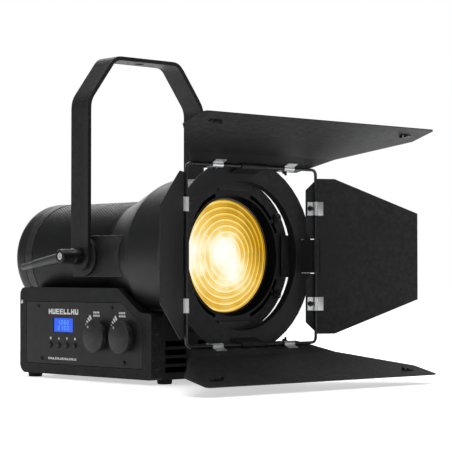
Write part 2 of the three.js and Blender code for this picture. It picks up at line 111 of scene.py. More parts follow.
def math_node(nodes, links, operation, a, b=None):
    node = nodes.new("ShaderNodeMath")
    node.operation = operation
    for i, value in enumerate((a, b)):
        if isinstance(value, (int, float)):
            node.inputs[i].default_value = value
        elif value is not None:
            links.new(value, node.inputs[i])
    return node.outputs[0]


def blend_colors(nodes, links, fac, a, b):
    """From colour a to colour b as fac goes from 0 to 1. Sockets 6 and 7 are the node's two colours."""
    mix = nodes.new("ShaderNodeMix")
    mix.data_type = "RGBA"
    for socket, color in ((6, a), (7, b)):
        if isinstance(color, tuple):
            mix.inputs[socket].default_value = (*color, 1)
        else:
            links.new(color, mix.inputs[socket])
    links.new(fac, mix.inputs["Factor"])
    return mix.outputs[2]


def surface(name, color, rough, metal=0.0, grain=2600.0, bump=0.25, depth=0.00008, edge_wear_and_highlight=0.0,
            mottle=0.08, edge=(0.12, 0.12, 0.125), coat=0.0, stretch=None, smudge=0.06,
            shine=0.33):
    """A finished surface: grain in the bump, patches in colour and roughness, and lighter edges that are
    partly wear and partly a painted highlight.
    """
    material, nodes, links = node_material(name)
    shader = nodes["Principled BSDF"]
    shader.inputs["Metallic"].default_value = metal
    shader.inputs["Specular IOR Level"].default_value = shine
    if coat:
        shader.inputs["Coat Weight"].default_value = coat
        shader.inputs["Coat Roughness"].default_value = 0.2
    patches = noise(nodes, links, 22.0, 4.0)
    darker = tuple(c * (1 - mottle) for c in color)
    lighter = tuple(min(1.0, c * (1 + mottle)) for c in color)
    tint = blend_colors(nodes, links, remap(nodes, links, patches, 0, 1), darker, lighter)
    # Sharp edges turn toward the edge colour: partly edge wear, partly a painted highlight along the rims.
    if edge_wear_and_highlight:
        geometry = nodes.new("ShaderNodeNewGeometry")
        worn_and_lit_edges = remap(nodes, links, geometry.outputs["Pointiness"], 0, edge_wear_and_highlight, 0.51, 0.62)
        spots = remap(nodes, links, noise(nodes, links, 160.0, 5.0), 0.1, 1, 0.35, 0.65)
        tint = blend_colors(nodes, links, math_node(nodes, links, "MULTIPLY", worn_and_lit_edges, spots), tint, edge)
    links.new(tint, shader.inputs["Base Color"])
    smudges = noise(nodes, links, 60.0, 5.0, 0.65)
    links.new(remap(nodes, links, smudges, max(0.03, rough - smudge), min(1, rough + smudge)),
              shader.inputs["Roughness"])
    bumps = nodes.new("ShaderNodeBump")
    bumps.inputs["Strength"].default_value = bump
    bumps.inputs["Distance"].default_value = depth
    fine = noise(nodes, links, grain, 2.0)
    if stretch:
        mapping = nodes.new("ShaderNodeMapping")
        mapping.inputs["Scale"].default_value = stretch
        texture = fine.node
        source = texture.inputs["Vector"].links[0].from_socket
        links.new(source, mapping.inputs["Vector"])
        links.new(mapping.outputs["Vector"], texture.inputs["Vector"])
    links.new(fine, bumps.inputs["Height"])
    links.new(bumps.outputs["Normal"], shader.inputs["Normal"])
    return material


def glow(name, color, strength, rough=0.25):
    material, nodes, links = node_material(name)
    shader = nodes["Principled BSDF"]
    shader.inputs["Roughness"].default_value = rough
    shader.inputs["Emission Strength"].default_value = strength
    patches = remap(nodes, links, noise(nodes, links, 90.0), 0, 1)
    tint = blend_colors(nodes, links, patches, tuple(c * 0.85 for c in color), color)
    links.new(tint, shader.inputs["Emission Color"])
    shader.inputs["Base Color"].default_value = (*(c * 0.2 for c in color), 1)
    return material


def ramp(nodes, links, value, stops):
    node = nodes.new("ShaderNodeValToRGB")
    elements = node.color_ramp.elements
    while len(elements) < len(stops):
        elements.new(0.5)
    for element, (place, color) in zip(elements, stops):
        element.position = place
        element.color = (*color, 1)
    links.new(value, node.inputs["Fac"])
    return node.outputs["Color"]


def warm(red, green, blue):
    """A display colour from 0 to 255, as the linear value that a shader takes."""
    return tuple((c / 255) ** 2.2 for c in (red, green, blue))


def lit_lens():
    """Glass lit from behind: a white core, cream glow below it and along the left side, amber elsewhere and
    deepest on the right, and every Fresnel step drawn as a bright line with a dark line outside it. The
    glow is the lamp's own light; the core, the spots and the step lines are painted highlight and painted
    shade at fixed places on the glass."""
    material, nodes, links = node_material("lit_lens")
    shader = nodes["Principled BSDF"]
    shader.inputs["Roughness"].default_value = 0.2
    shader.inputs["Specular IOR Level"].default_value = 0.25
    coords = nodes.new("ShaderNodeTexCoord")

    def distance_from(x_mm, z_mm, radius_x=1.0, radius_z=1.0):
        centre = LAMP + Vector((x_mm, 0, z_mm)) / 1000
        scale = (1000 / radius_x, 0, 1000 / radius_z)
        mapping = nodes.new("ShaderNodeMapping")
        mapping.inputs["Location"].default_value = (-centre.x * scale[0], 0, -centre.z * scale[2])
        mapping.inputs["Scale"].default_value = scale
        links.new(coords.outputs["Object"], mapping.inputs["Vector"])
        length = nodes.new("ShaderNodeVectorMath")
        length.operation = "LENGTH"
        links.new(mapping.outputs["Vector"], length.inputs[0])
        return length.outputs["Value"]

    # Glow falloff is the distance from the nearest of three bright spots, broken up by clouds. The spots
    # are painted where the LED's light shows through the glass.
    core = distance_from(-9, 6, 18, 17)
    below = math_node(nodes, links, "ADD", distance_from(6, -16, 34, 30), 0.62)
    side = math_node(nodes, links, "ADD", distance_from(-62, 4, 38, 42), 0.75)
    glow_falloff = math_node(nodes, links, "MINIMUM", core, math_node(nodes, links, "MINIMUM", below, side))
    clouds = remap(nodes, links, noise(nodes, links, 45.0, 2.0), -0.25, 0.25)
    glow_falloff = math_node(nodes, links, "ADD", glow_falloff, clouds)
    # The right side lies furthest from the light, so it is a deeper amber.
    amber = remap(nodes, links, distance_from(60, 14, 36, 42), 1.5, 0.0, 0.0, 1.3)
    glow_falloff = math_node(nodes, links, "ADD", glow_falloff, amber)
    glow_falloff = math_node(nodes, links, "MULTIPLY", glow_falloff, 1 / 4)
    bright = ramp(nodes, links, glow_falloff, [
        (0.0, warm(255, 255, 252)), (0.24, warm(255, 254, 246)), (0.34, warm(255, 250, 222)),
        (0.48, warm(255, 242, 178)), (0.65, warm(255, 228, 116)), (0.95, warm(236, 186, 50)),
    ])
    deep = ramp(nodes, links, glow_falloff, [
        (0.0, warm(255, 255, 250)), (0.23, warm(255, 251, 232)), (0.32, warm(254, 238, 176)),
        (0.42, warm(240, 192, 44)), (0.56, warm(222, 160, 8)), (0.85, warm(146, 98, 0)),
    ])
    # Where a point lies between two steps: 0 at the inner edge of its ring, 1 at the outer edge.
    steps = math_node(nodes, links, "MULTIPLY", distance_from(0, 0, LENS_CLEAR, LENS_CLEAR), LENS_RINGS)
    wobble = remap(nodes, links, noise(nodes, links, 26.0, 2.0), -0.07, 0.07)
    inside = math_node(nodes, links, "FRACT", math_node(nodes, links, "ADD", steps, wobble))
    fine = math_node(nodes, links, "FRACT", math_node(nodes, links, "MULTIPLY", steps, 4.0))
    # A painted highlight line and a painted shade line across each step.
    light = ramp(nodes, links, inside, [
        (0.0, (0.1,) * 3), (0.12, (0.0,) * 3), (0.26, (0.4,) * 3), (0.42, (0.1,) * 3),
        (0.66, (0.42,) * 3), (0.84, (1.0,) * 3), (0.96, (0.95,) * 3),
    ])
    streaks = ramp(nodes, links, fine, [
        (0.0, (0.8,) * 3), (0.4, (1.0,) * 3), (0.8, (1.0,) * 3), (1.0, (0.8,) * 3),
    ])
    light = math_node(nodes, links, "MULTIPLY", light, streaks)
    links.new(blend_colors(nodes, links, light, deep, bright), shader.inputs["Emission Color"])
    shader.inputs["Emission Strength"].default_value = 1.0
    shader.inputs["Base Color"].default_value = (0.03, 0.02, 0.005, 1)
    bumps = nodes.new("ShaderNodeBump")
    bumps.inputs["Strength"].default_value = 0.3
    bumps.inputs["Distance"].default_value = 0.0004
    links.new(noise(nodes, links, 260.0, 2.0), bumps.inputs["Height"])
    links.new(bumps.outputs["Normal"], shader.inputs["Normal"])
    return material


MATERIALS = {
    # Housing, yoke, doors and side covers are all black powder coat. Each base tone was set to how bright
    # that part looks under this lighting, so the lighter doors and yoke carry painted light and the darker
    # side covers carry painted shade.
    "yoke": surface("yoke_powder_coat", (0.0072, 0.0074, 0.0078), 0.46, grain=1500, bump=0.22, edge_wear_and_highlight=0.25,
                    shine=0.28),
    "housing": surface("black_powder_coat", (0.0058, 0.006, 0.0065), 0.46, grain=1500, bump=0.22,
                       edge_wear_and_highlight=0.25),
    "doors": surface("door_powder_coat", (0.0112, 0.0113, 0.0117), 0.54, grain=1900, bump=0.12, edge_wear_and_highlight=0.25,
                     smudge=0.02, shine=0.27),
    "cover": surface("cover_powder_coat", (0.0026, 0.0027, 0.003), 0.55, grain=1300, bump=0.3, edge_wear_and_highlight=0.3,
                     shine=0.26),
    "panel": surface("panel_paint", (0.0122, 0.0124, 0.013), 0.5, grain=2200, bump=0.2),
    "zinc": surface("zinc_plate", (0.74, 0.75, 0.76), 0.42, metal=1.0, grain=900, bump=0.12, mottle=0.12,
                    stretch=(1, 6, 6)),
    "steel": surface("ground_steel", (0.45, 0.45, 0.47), 0.32, metal=1.0, grain=800, bump=0.2,
                     stretch=(1, 12, 1)),
    "wire": surface("wire_lacquer", (0.012, 0.012, 0.013), 0.28, grain=1200, bump=0.15, edge_wear_and_highlight=0.3, coat=0.3),
    "plastic": surface("moulded_plastic", (0.006, 0.006, 0.0065), 0.36, grain=2400, bump=0.25),
    "knob": surface("knob_plastic", (0.0072, 0.0072, 0.0078), 0.46, grain=3000, bump=0.15, edge_wear_and_highlight=0.5,
                    smudge=0.03),
    "pointer": surface("pointer_grey", (0.24, 0.24, 0.245), 0.5, grain=2500, bump=0.1),
    "grip": surface("grip_plastic", (0.035, 0.036, 0.038), 0.42, grain=2000, bump=0.3),
    "rubber": surface("foot_rubber", (0.006, 0.006, 0.006), 0.8, grain=1800, bump=0.5),
    "print": surface("white_print", (0.7, 0.7, 0.7), 0.5, grain=3000, bump=0.1, mottle=0.06),
    "dark": surface("dark_screw", (0.012, 0.012, 0.013), 0.3, metal=0.4, grain=1500, bump=0.2, edge_wear_and_highlight=0.4),
    "alloy": surface("extruded_alloy", (0.55, 0.56, 0.58), 0.4, metal=1.0, grain=700, bump=0.2,
                     stretch=(1, 10, 1)),
    "board": surface("circuit_board", (0.02, 0.12, 0.05), 0.45, grain=900, bump=0.3, mottle=0.5),
    "blue": surface("socket_blue", (0.02, 0.09, 0.35), 0.4, grain=2000, bump=0.25),
    "display": glow("display_backlight", (0.008, 0.095, 0.8), 1.0, 0.15),
    "pixels": glow("display_pixels", (0.1, 0.32, 1.0), 1.0, 0.3),
    "phosphor": glow("led_phosphor", (1.0, 0.8, 0.3), 2.0, 0.4),
    "lens": lit_lens(),
}


# ---------------------------------------------------------------- mesh tools
def lathe(profile, segments=96, closed=True):
    """A profile of (radius, y) turned about the optical axis; closed joins its last point to its first."""
    bm = bmesh.new()
    rings = []
    for r, y in profile:
        if r < 1e-6:
            rings.append([bm.verts.new((0, y, 0))])
            continue
        turn = [2 * math.pi * k / segments for k in range(segments)]
        rings.append([bm.verts.new((r * math.cos(a), y, r * math.sin(a))) for a in turn])
    pairs = list(zip(rings, rings[1:])) + ([(rings[-1], rings[0])] if closed else [])
    for a, b in pairs:
        for k in range(segments):
            m = (k + 1) % segments
            corners = [a[k % len(a)], a[m % len(a)], b[m % len(b)], b[k % len(b)]]
            unique = list(dict.fromkeys(corners))
            if len(unique) > 2:
                bm.faces.new(unique)
    bmesh.ops.recalc_face_normals(bm, faces=bm.faces)
    return bm


def prism(points, low, high, axis):
    """A flat outline given a thickness along an axis. Its points hold the other two coordinates."""
    bm = bmesh.new()
    places = {
        "x": lambda a, b, c: (c, a, b),
        "y": lambda a, b, c: (a, c, b),
        "z": lambda a, b, c: (a, b, c),
    }
    near = [bm.verts.new(places[axis](a, b, low)) for a, b in points]
    far = [bm.verts.new(places[axis](a, b, high)) for a, b in points]
    bm.faces.new(near)
    bm.faces.new(far)
    for k in range(len(points)):
        m = (k + 1) % len(points)
        bm.faces.new((near[k], near[m], far[m], far[k]))
    bmesh.ops.recalc_face_normals(bm, faces=bm.faces)
    return bm


def block(x0, x1, y0, y1, z0, z1):
    return prism([(x0, y0), (x1, y0), (x1, y1), (x0, y1)], z0, z1, "z")


def aim(bm, place, direction):
    """Moves a shape made along +Y from the origin so that it starts at place and points in direction."""
    turn = Vector((0, 1, 0)).rotation_difference(Vector(direction)).to_matrix().to_4x4()
    bm.transform(Matrix.Translation(place) @ turn)
    return bm


def merge(*shapes):
    """The shapes as one mesh, in the order given."""
    whole = bmesh.new()
    for bm in shapes:
        mesh = bpy.data.meshes.new("part")
        bm.to_mesh(mesh)
        bm.free()
        whole.from_mesh(mesh)
        bpy.data.meshes.remove(mesh)
    return whole


def rounded(points, radius, steps=5):
    """A closed outline with every corner rounded."""
    out = []
    for i, p in enumerate(points):
        here, before, after = Vector(p), Vector(points[i - 1]), Vector(points[(i + 1) % len(points)])
        a = here + (before - here).normalized() * radius
        b = here + (after - here).normalized() * radius
        for k in range(steps + 1):
            t = k / steps
            out.append(tuple(a * (1 - t) ** 2 + here * 2 * t * (1 - t) + b * t**2))
    return out


def tube(points, radius, sides=14, closed=False):
    """A round bar through the points."""
    bm = bmesh.new()
    count = len(points)
    points = [Vector(p) for p in points]
    normal = None
    rings = []
    for i, p in enumerate(points):
        ahead = points[(i + 1) % count] if closed or i < count - 1 else p
        behind = points[i - 1] if closed or i else p
        along = (ahead - behind).normalized()
        guess = normal if normal else along.orthogonal()
        normal = (guess - along * guess.dot(along)).normalized()
        side = along.cross(normal)
        turn = [2 * math.pi * k / sides for k in range(sides)]
        rings.append([bm.verts.new(p + (normal * math.cos(a) + side * math.sin(a)) * radius) for a in turn])
    for i in range(count if closed else count - 1):
        a, b = rings[i], rings[(i + 1) % count]
        for k in range(sides):
            m = (k + 1) % sides
            bm.faces.new((a[k], a[m], b[m], b[k]))
    if not closed:
        bm.faces.new(rings[0])
        bm.faces.new(rings[-1])
    bmesh.ops.recalc_face_normals(bm, faces=bm.faces)
    return bm


def smooth(mesh, degrees):
    for polygon in mesh.polygons:
        polygon.use_smooth = True
    mesh.set_sharp_from_angle(angle=math.radians(degrees))


def soften(target, width_mm, segments=2, degrees=35):
    """Rounds the edges that are sharper than the angle."""
    bevel = target.modifiers.new("edges", "BEVEL")
    bevel.width = width_mm / 1000
    bevel.segments = segments
    bevel.limit_method = "ANGLE"
    bevel.angle_limit = math.radians(degrees)
    bevel.harden_normals = True


def piece(name, bm, material, body, replaces=(), edge=0.0, degrees=35, place=MM):
    """One object of the visual model, made from a shape in lamp millimetres."""
    mesh = bpy.data.meshes.new(name)
    bm.to_mesh(mesh)
    bm.free()
    mesh.transform(place)
    mesh.materials.append(MATERIALS[material])
    smooth(mesh, degrees)
    made = bpy.data.objects.new(name, mesh)
    bpy.context.scene.collection.objects.link(made)
    if edge:
        soften(made, edge, degrees=degrees)
    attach(made, body)
    if replaces:
        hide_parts(*replaces)
    return made


def dress(node, material, edge=0.0, segments=2):
    """A CAD node that stays: its own material, welded and with its edges rounded."""
    solid = frame["nodes"][node]
    solid.data.materials.clear()
    solid.data.materials.append(MATERIALS[material])
    if edge:
        weld = solid.modifiers.new("weld", "WELD")
        weld.merge_threshold = 0.00001
        flat = solid.modifiers.new("flat", "DECIMATE")
        flat.decimate_type = "DISSOLVE"
        flat.angle_limit = math.radians(0.5)
        soften(solid, edge, segments, degrees=30)


def screw_shape(radius):
    """A domed screw head with a hollow in its middle, standing on y = 0."""
    r, h = radius, radius * 0.62
    return lathe([(0, -0.3), (r, -0.3), (r, h * 0.35), (r * 0.85, h * 0.75), (r * 0.5, h), (r * 0.34, h),
                  (r * 0.2, h * 0.4), (0, h * 0.35)], 20, closed=False)


# ---------------------------------------------------------------- barn doors
QUARTERS = ["top", "right", "bottom", "left"]
WIDE_LEAVES = ("top", "bottom")
CLIP_PLACE = 63  # a clip's distance from the middle of its leaf


def wire_half():
    """Half side of the wire square, along the wire's middle."""
    return span("wire_frame")[1].x - WIRE_ROD


def wire_square():
    half = wire_half()
    corners = [(half, half), (-half, half), (-half, -half), (half, -half)]
    path = [(x, 0, z) for x, z in rounded(corners, 8.0, 8)]
    piece("wire_square", tube(path, WIRE_ROD, 16, closed=True), "wire", "barndoor",
          ["wire_frame"])


def leaf_frame(quarter):
    """Matrix of a leaf's own axes in the row frame: x along the hinge, -y ahead of it, z outwards.
    The leaf's tilt is read from its biggest face near the hinge."""
    joint = joints[f"leaf_{quarter}_hinge"]
    turn = Matrix.Rotation(QUARTERS.index(quarter) * math.pi / 2, 4, "Y")
    place = Matrix.Translation(joint["pos_m"]) @ turn
    back = place.inverted()
    tilt, best = 0.0, 0.0
    for face in frame["nodes"][f"leaf_{quarter}"].data.polygons:
        centre = back @ face.center
        normal = back.to_3x3() @ face.normal
        if math.hypot(centre.y, centre.z) < 0.02 and face.area > best and abs(normal.x) < 0.1:
            best = face.area
            tilt = math.atan2(normal.y, normal.z) if normal.z > 0 else math.atan2(-normal.y, -normal.z)
    return place @ Matrix.Rotation(-tilt, 4, "X") @ Matrix.Scale(0.001, 4)


def barn_doors():
    dress("ring_plate", "doors", 0.35)
    for quarter in QUARTERS:
        dress(f"leaf_{quarter}", "doors", 0.35)
        place = leaf_frame(quarter)
        # A strip in the door's paint, just clear of the leaf across the notch's front edge: a filler that
        # keeps the gap between the roll and the notch dark where the white behind would show through.
        ahead = -5.5 if quarter in WIDE_LEAVES else -8.0
        piece(f"notch_gap_filler_{quarter}", block(-24, 24, ahead, 0.8, 3.6, 4.2), "doors", f"leaf_{quarter}",
              place=place)
        for label, side in (("a", -1), ("b", 1)):
            dress(f"clip_{quarter}_{label}", "zinc", 0.25)
            nut = lathe([(0, -0.3), (3.7, -0.3), (3.7, 2.4), (3.3, 2.9), (0, 2.9)], 6, closed=False)
            bolt = lathe([(0, 2.8), (1.7, 2.8), (1.7, 5.8), (1.2, 6.3), (0, 6.3)], 16, closed=False)
            head = aim(merge(nut, bolt), Vector((side * CLIP_PLACE, 7.4, 0.8)), (0, 0, -1))
            piece(f"clip_screw_{quarter}_{label}", head, "dark", f"leaf_{quarter}",
                  place=place, degrees=40)
            if quarter in WIDE_LEAVES:
                dress(f"catch_{quarter}_{label}", "dark", 0.25)


# ---------------------------------------------------------------- nose, lens and shells
def lens_glass():
    """A domed front cut into steps: each ring rises outwards and drops back at its outer edge."""
    front, back, depth = 47.0, 62.0, 1.1
    pitch = LENS_CLEAR / LENS_RINGS

    def dome(r):
        return front + (LENS_EDGE - front) * (r / LENS_CLEAR) ** 2

    profile = [(0, back), (LENS_RADIUS, back), (LENS_RADIUS, LENS_EDGE), (LENS_CLEAR, LENS_EDGE)]
    for k in range(math.floor(LENS_RINGS), 0, -1):
        outer = pitch * k
        middle = outer - pitch / 2
        profile.append((outer + 0.15, dome(outer)))
        profile.append((outer, min(dome(outer) + depth, LENS_EDGE)))
        profile.append((middle, dome(middle) + depth * 0.35))
    profile.append((0, front))
    glass = piece("fresnel_glass", lathe(profile, 144, closed=False), "lens", "housing",
                  ["fresnel_lens"], degrees=25)
    glass.visible_diffuse = False
    glass.visible_glossy = False


NOSE_SLOTS = ((21.5, 32), (35, 68.5))  # degrees up and down from each side


def slotted_ring(inner, outer, slot_in, slot_out, y, back):
    """A flat ring with arc slots through it, built as sectors so that every slot has clean walls."""
    bm = bmesh.new()
    marks = sorted((side + way * a) % 360 for side in (0, 180) for way in (-1, 1)
                   for pair in NOSE_SLOTS for a in pair)
    stops = []
    for start, end in zip(marks, marks[1:] + [marks[0] + 360]):
        steps = max(1, round((end - start) / 2.5))
        stops += [start + (end - start) * k / steps for k in range(steps)]
    radii = (inner, slot_in, slot_out, outer)
    grid = []
    for angle in stops:
        grid.append([[bm.verts.new(ring_spot(r, angle, depth)) for r in radii] for depth in (y, back)])

    def is_slot(k):
        middle = (stops[k] + 0.1) % 180
        return any(low < min(middle, 180 - middle) < high for low, high in NOSE_SLOTS)

    def quad(*corners):
        bm.faces.new(corners)

    count = len(stops)
    for k in range(count):
        (f0, b0), (f1, b1) = grid[k], grid[(k + 1) % count]
        for band in range(3):
            if band == 1 and is_slot(k):
                for r in (1, 2):
                    quad(f0[r], f1[r], b1[r], b0[r])
                continue
            quad(f0[band], f0[band + 1], f1[band + 1], f1[band])
            quad(b0[band], b1[band], b1[band + 1], b0[band + 1])
        for r in (0, 3):
            quad(f0[r], f1[r], b1[r], b0[r])
        if is_slot(k) != is_slot(k - 1):
            quad(f0[1], f0[2], b0[2], b0[1])
    bmesh.ops.recalc_face_normals(bm, faces=bm.faces)
    return bm


def nose():
    low, high = span("nose_ring")
    face, back, outer = low.y, high.y, high.x
    seat, seat_back = 53.8, 55.2
    bezel = [(74.8, seat), (78, face - 0.4), (79.3, face - 0.4), (79.3, face + 3), (76.6, seat), (90, seat),
             (90, seat_back), (74.8, seat_back)]
    piece("bezel_cone", lathe(bezel, 128), "plastic", "housing", ["lens_bezel"], edge=0.25)
    keeper = [(73.4, 52.6), (75.2, 52.2), (75.7, 53.0), (75.2, seat), (73.4, seat)]
    piece("lens_keeper", lathe(keeper, 128), "wire", "housing")
    disc = slotted_ring(79.6, outer - 1.2, 80.8, 86, face, face + 2)
    rim = lathe([(outer - 1.2, face), (outer - 0.4, face + 0.25), (outer, face + 1.2), (outer, back),
                 (outer - 1.5, back), (outer - 1.5, face + 2), (outer - 1.2, face + 2)], 144)
    piece("nose_face", merge(disc, rim), "housing", "housing", ["nose_ring"])
    for angle in (33, 147, 213, 327):
        place = ring_spot(93, angle, face)
        boss = lathe([(0, 0), (6.2, 0), (6.2, 3.2), (5.7, 3.8), (0, 3.8)], 32, closed=False)
        piece(f"boss_{angle}", aim(boss, place, (0, -1, 0)), "plastic", "housing")
        head = aim(screw_shape(3.6), place + Vector((0, -3.8, 0)), (0, -1, 0))
        piece(f"boss_screw_{angle}", head, "dark", "housing", degrees=40)


def brackets():
    for i, quarter in enumerate(QUARTERS):
        dress(f"accessory_bracket_{quarter}", "housing", 0.35)
        turn = Matrix.Rotation(i * math.pi / 2, 4, "Y")
        for side in (-12, 12):
            head = aim(screw_shape(2.4), Vector((side, 47, 99.3)), (0, 0, 1))
            head.transform(turn)
            piece(f"bracket_screw_{quarter}_{'a' if side < 0 else 'b'}", head, "dark", "housing",
                  degrees=40)


def barrel():
    r, end = BARREL_RADIUS, 132.0
    profile = [(92, 60), (r - 1.2, 60), (r, 61.2), (r, end - 1.5), (r - 0.25, end + 0.2),
               (r - 0.9, end + 2), (77.5, 197.6), (76.8, 199), (76.8, 204), (SHELL_RADIUS, 204),
               (SHELL_RADIUS, 197.8), (r - 1.5, end - 0.7), (r - 1.5, 61.5), (92, 61.5)]
    piece("barrel_skin", lathe(profile, 160), "housing", "housing", ["barrel_shell"],
          edge=0.2)
    seam = [(r + 0.05, 66.4), (r + 0.25, 66.6), (r + 0.25, 68.4), (r + 0.05, 68.6), (r - 0.3, 68.6),
            (r - 0.3, 66.4)]
    piece("barrel_bead", lathe(seam, 160), "housing", "housing")


def perforated_shell():
    """Sheet with staggered six-sided holes over the plain rear shell."""
    low, high = span("rear_shell")
    y0, y1 = low.y + 7, high.y - 7
    radius, columns = 75.75, 132
    pitch = 2 * math.pi * radius / columns
    rise = pitch * math.sqrt(3) / 2
    rows = int((y1 - y0) / rise)
    hole = pitch * 0.27
    verts, faces = [], []
    corner_index = {}

    def spot(s, y, r):
        """The place at arc length s round the shell."""
        a = s / radius
        return (r * math.sin(a), y, r * math.cos(a))

    def corner(u, v):
        """A corner of a hole's six-sided cell, shared with the cells beside it."""
        key = (round(u * 6) % (columns * 6), round(v * 6))
        if key not in corner_index:
            corner_index[key] = len(verts)
            verts.append(spot(u * pitch, y0 + v * rise, radius))
        return corner_index[key]

    for row in range(rows):
        for column in range(columns):
            u = column + (0.5 if row % 2 else 0)
            v = row + 1
            cell = []
            for k in range(6):
                a = math.pi / 6 + k * math.pi / 3
                du = math.cos(a) / math.sqrt(3)
                dv = math.sin(a) / math.sqrt(3) * 2 / math.sqrt(3)
                cell.append(corner(u + du, v + dv))
            rim, floor = [], []
            for k in range(6):
                a = math.pi / 6 + k * math.pi / 3
                s = u * pitch + hole * math.cos(a)
                y = y0 + v * rise + hole * math.sin(a)
                rim.append(len(verts))
                verts.append(spot(s, y, radius))
                floor.append(len(verts))
                verts.append(spot(s, y, SHELL_RADIUS))
            for k in range(6):
                m = (k + 1) % 6
                faces.append((cell[k], cell[m], rim[m], rim[k]))
                faces.append((rim[k], rim[m], floor[m], floor[k]))
    bm = bmesh.new()
    made = [bm.verts.new(v) for v in verts]
    for f in faces:
        bm.faces.new([made[i] for i in f])
    bmesh.ops.recalc_face_normals(bm, faces=bm.faces)
    piece("perforated_sheet", bm, "housing", "housing", degrees=30)
    dress("rear_shell", "yoke")


def grille_disc(radius, slots, low, high):
    """A round plate with straight slots: the plate is built as bars between and beside the slots."""
    slabs = []
    half = 40.0  # half length of a slot
    edges = sorted({z for z0, z1 in slots for z in (z0, z1)})

    def chord(z):
        return math.sqrt(max(radius**2 - z**2, 0))

    def slab(points):
        slabs.append(prism(points, low, high, "y"))

    def arc(z0, z1, side, steps=8):
        heights = [z0 + (z1 - z0) * k / steps for k in range(steps + 1)]
        return [(side * chord(z), z) for z in heights]

    levels = [-radius] + edges + [radius]
    for z0, z1 in zip(levels, levels[1:]):
        if (z0, z1) in slots:
            for side in (-1, 1):
                slab([(side * half, z0)] + arc(z0, z1, side) + [(side * half, z1)])
        else:
            right = arc(z0, z1, 1)
            slab(right + [(-x, z) for x, z in reversed(right) if abs(x) > 1e-6])
    return merge(*slabs)


def rear_cap():
    low, high = span("rear_cap")
    start, back = low.y, high.y
    flat, bend = 58.7, 18  # radius of the flat back, and of the round edge beyond it
    outer = [(SHELL_RADIUS, start), (76.2, start), (76.7, start + 0.5), (76.7, start + 7)]
    for k in range(9):
        a = math.pi / 2 * k / 8
        outer.append((flat + bend * math.cos(a), back - bend + bend * math.sin(a)))
    profile = outer + [(56, back), (56, back - 2), (58, back - 2), (70, back - 7), (73.7, back - bend),
                       (73.7, start + 7.3), (SHELL_RADIUS, start + 7.3)]
    piece("cap_shell", lathe(profile, 128), "housing", "housing", ["rear_cap"], edge=0.2)
    slots = [(z - 2.5, z + 2.5) for z in (-32, -22, -12, 12, 22, 32)]
    plate = grille_disc(56.4, slots, back - 1.9, back - 0.1)
    piece("cap_grille", plate, "housing", "housing", edge=0.3)
    band = [(75.8, start - 17), (76.4, start - 16.7), (76.4, start - 0.6), (75.8, start - 0.2)]
    piece("cap_band", lathe(band, 128), "housing", "housing")
    for angle in (45, 135, 225, 315):
        head = aim(screw_shape(2.4), ring_spot(50, angle, back - 1.7), (0, 1, 0))
        piece(f"cap_screw_{angle}", head, "dark", "housing", degrees=40)


# ---------------------------------------------------------------- yoke and clamp
def yoke_strips():
    """A raised strip along the straight and the sloping part of each leg."""
    low_bend, high_bend = Vector((103.5, 210)), Vector((57.5, 271.7))
    slant = (high_bend - low_bend).normalized()
    out = Vector((slant.y, -slant.x))
    straight = [(103.45, 2), (103.75, 2), (103.75, 198), (103.45, 198)]
    ends = (low_bend + slant * 13, high_bend - slant * 13)
    sloping = [tuple(p + out * lift) for lift, pair in ((-0.05, ends), (0.25, ends[::-1])) for p in pair]
    for label, side in (("left", -1), ("right", 1)):
        for part, outline in (("straight", straight), ("sloping", sloping)):
            strip = prism([(side * x, z) for x, z in outline], 210.6, 219.4, "y")
            piece(f"yoke_strip_{label}_{part}", strip, "panel", "yoke")


def clamp():
    """The lever, its washer and the stud's bright end, all on the yoke's left pivot."""
    washer = lathe([(5.4, 0), (9.5, 0), (9.5, 0.25), (5.4, 0.25)], 32)
    piece("lever_washer", aim(washer, Vector((-103.52, PIVOT_Y, 0)), (-1, 0, 0)), "steel", "yoke")
    stud = lathe([(0, 0), (4.95, 0), (4.95, 55.6), (4.6, 56), (2.8, 56), (2.6, 53), (0, 52.8)], 36,
                 closed=False)
    piece("stud_end", aim(stud, Vector((-80.4, PIVOT_Y, 0)), (-1, 0, 0)), "zinc", "housing",
          ["tilt_stud"], edge=0.15)
    dress("tilt_bolt", "zinc", 0.5)
    hub = lathe([(5.3, 0), (11, 0), (11, 10.5), (10.4, 11.8), (9.6, 13), (9.4, 30), (8.9, 32.2),
                 (7.8, 33.2), (5.3, 33.2)], 48)
    aim(hub, Vector((-103.8, PIVOT_Y, 0)), (-1, 0, 0))
    length, radius, ridges = 98.0, 6.6, 15
    grip_profile = [(0, 2), (radius - 0.4, 2), (radius, 9), (radius, 12)]
    for k in range(ridges):
        y = 13 + k * 3.8
        r = radius - 1.2 * k / ridges
        grip_profile += [(r - 0.2, y), (r, y + 1.1), (r, y + 2.6), (r - 0.2, y + 3.4)]
    grip_profile += [(5.2, 70.5), (4.3, 71.5), (4.1, length - 4), (3.6, length - 1.6), (2.2, length - 0.3),
                     (0, length)]
    grip = lathe(grip_profile, 36, closed=False)
    aim(grip, Vector((-127, PIVOT_Y, 0)), (0, math.cos(LEVER_SLOPE), -math.sin(LEVER_SLOPE)))
    piece("lever_hub", hub, "plastic", "clamp_lever", ["clamp_lever"], edge=0.2)
    piece("lever_grip", grip, "grip", "clamp_lever", degrees=50)


def yoke_and_clamp():
    dress("yoke", "yoke", 0.6)
    yoke_strips()
    for side in ("left", "right"):
        dress(f"pivot_block_{side}", "housing", 0.8)
    clamp()


